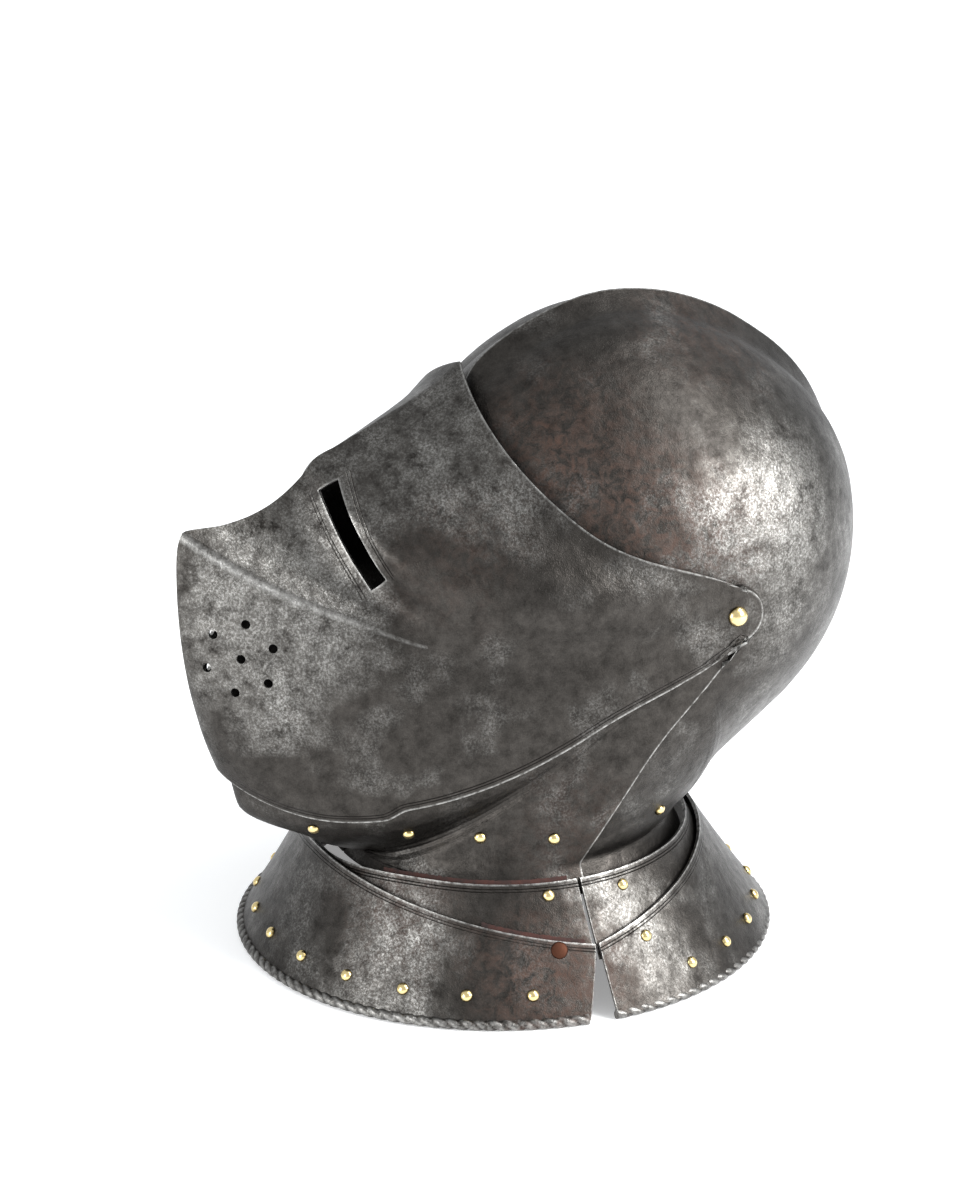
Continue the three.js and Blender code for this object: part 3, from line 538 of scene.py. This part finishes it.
visor_rows = with_waist(section_rows(visor_angles, visor_sections, visor_reach, visor_columns))
arm_turn = np.radians(-80 + 160 * visor_rows.pop("row") / (len(visor_sections) - 1))
visor_fan = (visor_rows, visor_half_width, visor_arm, np.cos(arm_turn), np.sin(arm_turn))
visor_shape = softened(plate_shape(*visor_fan), 0.48, 0.66, 0.15)


def patch_of(shape, y, z, x_from=3):
    """The part of a sheet, in across and along, that covers a box of y and z."""
    across, along = np.meshgrid(np.linspace(0, 1, 160), np.linspace(0, 1, 320))
    across, along = across.ravel(), along.ravel()
    p = shape(across, along)
    inside = (p[:, 0] > x_from) & (p[:, 1] > y[0]) & (p[:, 1] < y[1]) & (p[:, 2] > z[0]) & (p[:, 2] < z[1])
    return (np.array([across[inside].min(), along[inside].min()]),
            np.array([across[inside].max(), along[inside].max()]))


def surface_at(shape, y, z):
    """The point of a sheet's left half at a height and a depth, and its outward normal."""
    across, along, reach = 0.75, 0.5, 0.5
    for _ in range(14):
        a, b = np.meshgrid(np.linspace(-reach, reach, 15) + across, np.linspace(-reach, reach, 15) + along)
        a, b = np.clip(a.ravel(), 0.02, 0.98), np.clip(b.ravel(), 0.01, 0.99)
        best = np.hypot(*(shape(a, b)[:, 1:] - (y, z)).T).argmin()
        across, along, reach = a[best], b[best], reach * 0.5
    step = 0.004
    p = shape(np.array([across, across + step, across]), np.array([along, along, along + step]))
    normal = Vector(p[2] - p[0]).cross(Vector(p[1] - p[0])).normalized()
    return Vector(p[0]), normal if normal.x > 0 else -normal


sight_length, sight_height = 50, 9.5
breath_radius, breath_spacing, breaths_around, first_breath = 2.1, 16, 6, 9
sight_middle, sight_out = surface_at(visor_shape, -155, 38)
sight_end, _ = surface_at(visor_shape, -148.5, 22)
sight_along = sight_end - sight_middle
sight_along = (sight_along - sight_out * sight_along.dot(sight_out)).normalized()
sight_up = sight_out.cross(sight_along)
sight_patch = patch_of(visor_shape, (-176, -132), (12, 62))
breath_patch = patch_of(visor_shape, (-224, -180), (-36, 6), x_from=0.1)
visor, flat, points = sheet_grid("visor", (84, 150), visor_shape, finer=[sight_patch, breath_patch])

from_sight = points - np.array(sight_middle)
sight_a, sight_b = from_sight @ np.array(sight_along), from_sight @ np.array(sight_up)
beyond_a, beyond_b = np.abs(sight_a) - sight_length / 2, np.abs(sight_b) - sight_height / 2
near = np.abs(from_sight @ np.array(sight_out)) < 14
from_slot = np.where(near, np.hypot(np.maximum(beyond_a, 0), np.maximum(beyond_b, 0)), far_off)
beside_slot = np.where(near & (beyond_a < 2) & (beyond_b > 0), beyond_b - 1.4, far_off)
# the ridge's crest is painted lighter from the prow tip back along the cheeks, fading out: partly a worn crest,
# partly a painted highlight; the visor's edges and the sight's rim are painted lighter too
ridge_angle, ridge_across = 9.6, np.linspace(0.5, 1, 200)
ridge_along = np.interp(ridge_angle, visor_rows["angle"], spaced(*visor_fan))
ridge = visor_shape(ridge_across, np.full(200, ridge_along))
ridge_line_fade = 1.6 * (1 - ease((ridge_across - 0.5) / 0.3))
parts = (points[k:k + 4000, None, :] for k in range(0, len(points), 4000))
from_ridge = np.concatenate([(np.linalg.norm(part - ridge, axis=2) + ridge_line_fade).min(axis=1) for part in parts])
rim_gap = border_distance(flat, points, [(1, 0), (1, 1), (0, 0)])
write_values(visor, "edge_mm", np.minimum(np.minimum(rim_gap, from_slot), from_ridge * 0.38))
write_values(visor, "line_mm", np.minimum(border_distance(flat, points, [(1, 0)]), beside_slot))
applied(visor, "MIRROR", use_clip=True, merge_threshold=0.00001)
facing_out(visor)
hammered(visor, 0.12, 19, 2)
applied(visor, "SOLIDIFY", thickness=visor_wall * MM, offset=-1)


def punched(plate, cutters):
    """Cuts a plate with the given solids, which are used up."""
    select_only(*cutters)
    bpy.ops.object.join()
    tool = bpy.context.object
    applied(plate, "BOOLEAN", operation="DIFFERENCE", solver="EXACT", object=tool)
    bpy.data.objects.remove(tool)


def turned_to(out, along=None):
    """The turn that brings Z to out, and X to along where it is given."""
    if along is None:
        return out.to_track_quat("Z", "Y").to_matrix()
    return Matrix((along, out.cross(along), out)).transposed()


cutters = []
for hand in (1, -1):
    flip = Vector((hand, 1, 1))
    bpy.ops.object.select_all(action="DESELECT")
    bpy.ops.mesh.primitive_cube_add(size=1)
    slot = bpy.context.object
    slot.scale = (sight_length * MM, sight_height * MM, 0.024)
    slot.location = pivot + sight_middle * flip * MM
    slot.rotation_euler = turned_to(sight_out * flip, (sight_along * flip)).to_euler()
    select_only(slot)
    bpy.ops.object.transform_apply()
    cutters.append(slot)
    centre, centre_out = surface_at(visor_shape, -202, -15.3)
    level = Vector((0, 0, 1)).cross(centre_out).normalized()
    rise = centre_out.cross(level)
    for k in range(breaths_around + 1):
        turn = math.radians(first_breath + 360 / breaths_around * k)
        away = breath_spacing if k < breaths_around else 0
        at = centre + (level * math.sin(turn) + rise * math.cos(turn)) * away
        spot, out = surface_at(visor_shape, at.y, at.z)
        bpy.ops.object.select_all(action="DESELECT")
        bpy.ops.mesh.primitive_cylinder_add(vertices=20, radius=breath_radius * MM, depth=0.012)
        drill = bpy.context.object
        drill.location = pivot + spot * flip * MM
        drill.rotation_euler = turned_to(out * flip).to_euler()
        select_only(drill)
        bpy.ops.object.transform_apply()
        cutters.append(drill)
punched(visor, cutters)
# its first places paint the steel lighter on the prow, beside the sight, on the lower cheek and at the top: painted
# highlights over rubbed steel
visor_steel = steel("hammered steel of the visor", grain=0.31,
                    painted_highlights=[(20, -200, 5, 70, 0.75), (25, -175, 25, 45, 0.35),
                            (85, -150, -60, 50, 0.12), (35, -125, 75, 65, 0.5)],
                    rusty=[(60, -120, 30, 45, 0.35)])
finished(visor, "visor", "visor", visor_steel)

# The bevor: the chin plate, one sheet that hangs on the same pivots between the skull and
# the visor and narrows to the neck. Only its lower half shows, below the visor's edge.
bevor_reach, bevor_wall, bevor_arm = 218, 1.7, 13.5
bevor_columns = ("reach", "droop", "side", "crown")
chin_row = neck_rows(np.array([180.0]), bevor_out, 0, 0.9, 1.15)
bevor_sections = [
    (chin_row["angle"][0], chin_row["radius"][0] / bevor_reach, 0, 2.05, 2), (-35, 0.908, 0.2, 2.1, 1.8),
    (-31.5, 0.934, 0.39, 2.1, 1.7), (-28.2, 0.968, 0.57, 2.1, 1.6), (-25.3, 1, 0.73, 2.1, 1.5),
    (-22.6, 0.994, 0.86, 2.1, 1.5), (-19.6, 0.983, 1, 2.1, 1.5), (-14, 0.98, 1, 2.05, 1.4), (-8, 0.977, 1, 2, 1.28),
]
cheek_knots, cheek_turns = [87, 101, 116, 132, 149, 170, 180], np.linspace(87, 179.6, 130)
chin_angles = np.linspace(bevor_sections[0][0], bevor_sections[-1][0], 200)
bevor_rows = with_waist(joined(
    neck_rows(cheek_turns, bevor_out, 0, 0.9, 1.15),
    section_rows(chin_angles, bevor_sections, bevor_reach, bevor_columns)))
known_rows = np.concatenate([
    np.interp(cheek_turns, cheek_knots, range(7)),
    np.interp(chin_angles, [row[0] for row in bevor_sections], range(6, 15))])
arm_turn = np.radians(-80 + 160 * known_rows / 14)
bevor_shape = softened(plate_shape(bevor_rows, bevor_half_width, bevor_arm, np.cos(arm_turn), np.sin(arm_turn)),
                       0.72, 1.02, 0.1)
bevor, flat, points = sheet_grid("bevor", (76, 150), bevor_shape)
rear_gap = border_distance(flat, points, [(1, 0)])
# the steel is painted lighter along the rear edge, partly worn, partly a painted highlight on the edge
write_values(bevor, "edge_mm", rear_gap)
write_values(bevor, "line_mm", np.full(len(points), far_off))
applied(bevor, "MIRROR", use_clip=True, merge_threshold=0.00001)
facing_out(bevor)
hammered(bevor, 0.12, 17, 3)
applied(bevor, "SOLIDIFY", thickness=bevor_wall * MM, offset=-1)
bevor_steel = steel("hammered steel of the bevor", grain=0.77, painted_highlights=[(90, -110, -80, 60, -0.1)],
                    rusty=[(70, -60, -105, 60, 0.35)])
finished(bevor, "bevor", "bevor", bevor_steel)

# The gorget: two pairs of flared lames around the neck, each a strip cut to a curve and
# riveted at the sides, the lower pair with a rim rolled and chased to look like rope.
lame_gap = 0.45
lame_end = math.degrees(lame_gap / neck["half_width"])
upper_start, upper_dip, upper_bottom = 0.065, 0.07, 0.62
lower_start, lower_dip, lower_bottom = 0.1, 0.39, 0.965
front_dip_power, rear_dip_power = 0.85, 1.1
rope_thickness, rope_pitch, rim_radius = 2.45, 6.4, 118


def gorget_point(turn, fall, out, toward):
    """A point of the gorget: the turn runs from the left side over the middle to the right."""
    z = -rim["top"] - fall * rim_height
    wide_x, wide_y, back = flare(z)
    turn = np.radians(turn)
    x = (neck["half_width"] + collar_out + wide_x + out) * np.cos(turn)
    y = -neck["forward"] + back + toward * (neck["half_length"] + collar_out + wide_y + out) * np.sin(turn)
    return np.stack([x, y, z + 0 * x], axis=-1)


def side_turn(turn):
    """The turn from the nearer side of the helmet."""
    return np.minimum(turn, 180 - turn)


def upper_top(turn, toward):
    """Where the upper lames begin, which dips a little in front."""
    return upper_start + (upper_dip * ease((side_turn(turn) - 45) / 45) if toward < 0 else 0)


def lower_top(turn, toward):
    """Where the lower lames begin, which falls away to the sides."""
    power = front_dip_power if toward < 0 else rear_dip_power
    return lower_start + lower_dip * (1 - np.sin(np.radians(turn))) ** power


def lame(name, body, toward, top, bottom, out, split, material, seed, rope=0):
    """One lame as a fine sheet with its wall, and its roped rim where it has one."""
    def shape(across, along):
        turn = lame_end + (180 - 2 * lame_end) * across
        fall = top(turn, toward) * (1 - along) + bottom * along
        cut = split * np.clip((fall - 0.5) / 0.5, 0, 1)
        turn = turn + (90 - turn) * cut / 90
        return gorget_point(turn, fall, out, toward)

    plate, flat, points = sheet_grid(name, (220, 26), shape)
    upper_gap = border_distance(flat, points, [(1, 0)])
    # the steel is painted lighter along the upper edge and the ends, partly worn, partly a painted highlight along
    # the edges
    write_values(plate, "edge_mm", np.minimum(upper_gap, border_distance(flat, points, [(0, 0), (0, 1)]) + 0.45))
    write_values(plate, "line_mm", upper_gap)
    facing_out(plate)
    hammered(plate, 0.14, 15, seed)
    applied(plate, "SOLIDIFY", thickness=lame_wall * MM, offset=-1)
    if rope:
        def strands(across, along):
            turn = lame_end + (180 - 2 * lame_end) * across
            return np.abs(np.sin(np.pi * np.radians(turn) * rim_radius / rope_pitch - toward * along * 2 * np.pi))

        def rim_shape(across, along):
            turn = lame_end + (180 - 2 * lame_end) * across
            turn = turn + (90 - turn) * split / 90
            centre_fall = 1 - rope / rim_height
            centre = gorget_point(turn, centre_fall, out - lame_wall / 2 + 0.1, toward)
            beyond = gorget_point(turn, centre_fall, out + 1, toward) - centre
            beyond[:, 2] = 0
            beyond /= np.linalg.norm(beyond, axis=1)[:, None]
            around = along * 2 * np.pi
            thick = rope * (0.6 + 0.4 * strands(across, along) ** 0.5)
            down = np.array([0, 0, -1.0])
            ring = np.cos(around)[:, None] * beyond + np.sin(around)[:, None] * down
            return centre + thick[:, None] * ring

        coil, flat, _ = sheet_grid(name + "_rope", (720, 16), rim_shape)
        # the crests of the strands are painted lighter, partly rubbed, partly a painted highlight on the twist
        write_values(coil, "edge_mm", 1.2 - 0.75 * strands(flat[:, 0], flat[:, 1]) ** 0.5)
        write_values(coil, "line_mm", np.full(len(flat), far_off))
        select_only(coil)
        bpy.ops.object.mode_set(mode="EDIT")
        bpy.ops.mesh.select_all(action="SELECT")
        bpy.ops.mesh.remove_doubles(threshold=0.00002)
        bpy.ops.mesh.select_all(action="DESELECT")
        bpy.ops.mesh.select_mode(type="EDGE")
        bpy.ops.mesh.select_non_manifold()
        bpy.ops.mesh.edge_face_add()
        bpy.ops.mesh.select_all(action="SELECT")
        bpy.ops.mesh.normals_make_consistent(inside=False)
        bpy.ops.object.mode_set(mode="OBJECT")
        select_only(plate, coil)
        bpy.ops.object.join()
    finished(plate, body, name, material)
    return plate


# its first places paint the lames lighter in front and towards the back, painted highlights, and a little darker on
# the side in front
gorget_steel = steel("hammered steel of the gorget", grain=0.53,
                     painted_highlights=[(75, -170, -150, 60, 0.45), (108, -100, -155, 40, -0.2),
                             (105, -30, -150, 55, 0.25), (100, -50, -125, 40, 0.3)],
                     rusty=[(115, -95, -150, 50, 1.0), (60, -150, -125, 50, 0.4)])
lames = {
    "front_upper_lame": lame("front_upper_lame", "bevor", -1, upper_top, upper_bottom, 0, 0, gorget_steel, 4),
    "rear_upper_lame": lame("rear_upper_lame", "skull", 1, upper_top, upper_bottom, 0, 0, gorget_steel, 5),
    "front_lower_lame": lame("front_lower_lame", "bevor", -1, lower_top, lower_bottom, lower_out, 5.5, gorget_steel,
                             6, rope=rope_thickness),
    "rear_lower_lame": lame("rear_lower_lame", "skull", 1, lower_top, lower_bottom, lower_out, 0, gorget_steel,
                            7, rope=rope_thickness),
}

# The leather: strips of red hide inside the lames, cut by hand, that carry them and show
# as a narrow worn edge above the front ones.
leather_wall, leather_gap, leather_show = 1.2, 0.65, 0.016
# vegetable-tanned hide: matt and grained, nearly black where it is greasy, red where it is rubbed
hide = bpy.data.materials.new("worn red leather")
hide.use_nodes = True
tree = hide.node_tree
shader = tree.nodes["Principled BSDF"]
place = add(tree, "ShaderNodeTexCoord", out="Object")
grain = add(tree, "ShaderNodeTexNoise", {"Vector": place, "Scale": 700, "Detail": 4})
worn = add(tree, "ShaderNodeTexNoise", {"Vector": place, "Scale": 120, "Detail": 5, "Roughness": 0.7})
colour = add(tree, "ShaderNodeValToRGB", {"Fac": worn})
greasy, rubbed = colour.node.color_ramp.elements
greasy.position, rubbed.position = 0.35, 0.68
greasy.color, rubbed.color = linear("#180805"), linear("#401a10")
relief = add(tree, "ShaderNodeBump", {"Height": grain, "Strength": 0.6, "Distance": 0.3 * MM})
tree.links.new(colour, shader.inputs["Base Color"])
tree.links.new(relief, shader.inputs["Normal"])
shader.inputs["Roughness"].default_value = 0.8

for level, first, last, inner, top, bottom in (
        ("upper", 3, 62, -lame_wall - leather_gap - leather_wall, upper_top, (neck["end"] - rim["top"]) / rim_height),
        ("lower", 2.5, 29, leather_gap, lower_top, 0.58)):
    for hand, first_turn, last_turn in (("left", first, last), ("right", 180 - last, 180 - first)):
        def strip_shape(across, along):
            turn = first_turn + (last_turn - first_turn) * across
            ragged = np.array([noise.noise(Vector((t * 0.9, 3.0, 0))) for t in turn]) * 0.01
            fall = (top(turn, -1) - leather_show + ragged) * (1 - along) + bottom * along
            return gorget_point(turn, fall, inner + leather_wall, -1)

        name = f"front_{level}_leather_{hand}"
        strip, _, _ = sheet_grid(name, (80, 8), strip_shape)
        facing_out(strip)
        applied(strip, "SOLIDIFY", thickness=leather_wall * MM, offset=-1)
        finished(strip, "bevor", name, hide)

# The rivets: domed brass heads along the neck and above the rim, a larger pair at the
# pivots, and one flat copper rivet. Each head is modelled once and copied to its seat.


def rivet_metal(name, dark, light, rough):
    """Metal that is lighter towards the top of the head and darker towards its foot, with tarnish over it."""
    material = bpy.data.materials.new(name)
    material.use_nodes = True
    tree = material.node_tree
    shader = tree.nodes["Principled BSDF"]
    place = add(tree, "ShaderNodeTexCoord", out="Object")
    tarnish = add(tree, "ShaderNodeTexNoise", {"Vector": place, "Scale": 500, "Detail": 4})
    rise = add(tree, "ShaderNodeAttribute", out="Fac", attribute_name="rise")
    height_with_tarnish = add(tree, "ShaderNodeMath", {0: rise, 1: tarnish}, operation="ADD")
    colour = add(tree, "ShaderNodeValToRGB", {"Fac": height_with_tarnish})
    foot, top = colour.node.color_ramp.elements
    foot.position, top.position = 0.55, 1
    foot.color, top.color = linear(dark), linear(light)
    relief = add(tree, "ShaderNodeBump", {"Height": tarnish, "Strength": 0.4, "Distance": 0.25 * MM})
    tree.links.new(colour, shader.inputs["Base Color"])
    tree.links.new(relief, shader.inputs["Normal"])
    shader.inputs["Metallic"].default_value = 1
    shader.inputs["Roughness"].default_value = rough
    return material


def rivet_head(name, radius, height, shank, length):
    """A head with its shank: a sphere is cut, flattened and drawn out below."""
    bpy.ops.object.select_all(action="DESELECT")
    bpy.ops.mesh.primitive_uv_sphere_add(segments=24, ring_count=14, radius=1)
    head = bpy.context.object
    head.name = name
    bpy.ops.object.mode_set(mode="EDIT")
    bpy.ops.mesh.select_all(action="SELECT")
    bpy.ops.mesh.bisect(plane_co=(0, 0, 0.12), plane_no=(0, 0, 1), clear_inner=True, use_fill=True)
    bpy.ops.mesh.select_all(action="SELECT")
    bpy.ops.transform.resize(value=(radius * MM, radius * MM, height * MM * 1.1), center_override=(0, 0, 0))
    bpy.ops.transform.translate(value=(0, 0, -0.12 * height * MM))
    bpy.ops.mesh.select_all(action="DESELECT")
    bpy.ops.mesh.select_mode(type="FACE")
    bpy.ops.object.mode_set(mode="OBJECT")
    for face in head.data.polygons:
        face.select = len(face.vertices) > 8
    bpy.ops.object.mode_set(mode="EDIT")
    bpy.ops.mesh.inset(thickness=(radius - shank) * MM)
    bpy.ops.mesh.extrude_region_move(TRANSFORM_OT_translate={"value": (0, 0, -length * MM)})
    bpy.ops.object.mode_set(mode="OBJECT")
    rises = np.array([max(0, v.co.z) / (height * MM) for v in head.data.vertices])
    write_values(head, "rise", rises)
    select_only(head)
    bpy.ops.object.shade_smooth_by_angle(angle=math.radians(40))
    return head


heads = {
    "domed": rivet_head("domed_head", 2.8, 2.0, 1.1, 2.4),
    "flat": rivet_head("flat_head", 3.9, 0.9, 1.1, 4.5),
    "pivot": rivet_head("pivot_head", 4.7, 3.4, 2.8, 7.4),
}
aged_brass = rivet_metal("aged brass", "#6b5a32", "#e0cb93", 0.24)
dull_copper = rivet_metal("dull copper", "#241510", "#4b3025", 0.6)
carriers = {"bevor_rivet": bevor, "skull_rivet": skull, "pivot_rivet": visor,
            "front_rim": lames["front_lower_lame"], "rear_rim": lames["rear_lower_lame"], **lames}
bodies = {node: body for body, nodes in frame["record"]["behaviour"]["bodies"].items() for node in nodes}
bpy.context.view_layer.update()
for name in sorted(node for node in frame["nodes"] if "rivet" in node):
    low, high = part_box(name)
    middle = (Vector(low) + Vector(high)) / 2
    carrier = next(plate for start, plate in carriers.items() if name.startswith(start))
    if name.startswith("pivot"):
        out = Vector((math.copysign(1, middle.x), 0, 0))
    else:
        out = Vector((middle.x, middle.y - pivot.y + neck["forward"] * MM, 0)).normalized()
    _, spot, normal, _ = carrier.ray_cast(middle + out * 0.04, -out)
    if name.startswith("pivot"):
        normal = out
    kind = "pivot" if name.startswith("pivot") else "flat" if name == "front_lower_lame_rivet_left" else "domed"
    rivet = heads[kind].copy()
    rivet.data = heads[kind].data.copy()
    rivet.name = rivet.data.name = name + "_head"
    bpy.context.collection.objects.link(rivet)
    rivet.data.transform(Matrix.Translation(spot + normal * 0.00005) @ turned_to(normal).to_4x4())
    rivet.data.materials.append(dull_copper if kind == "flat" else aged_brass)
    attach(rivet, bodies[name])
    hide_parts(name)
for head in heads.values():
    bpy.data.objects.remove(head)
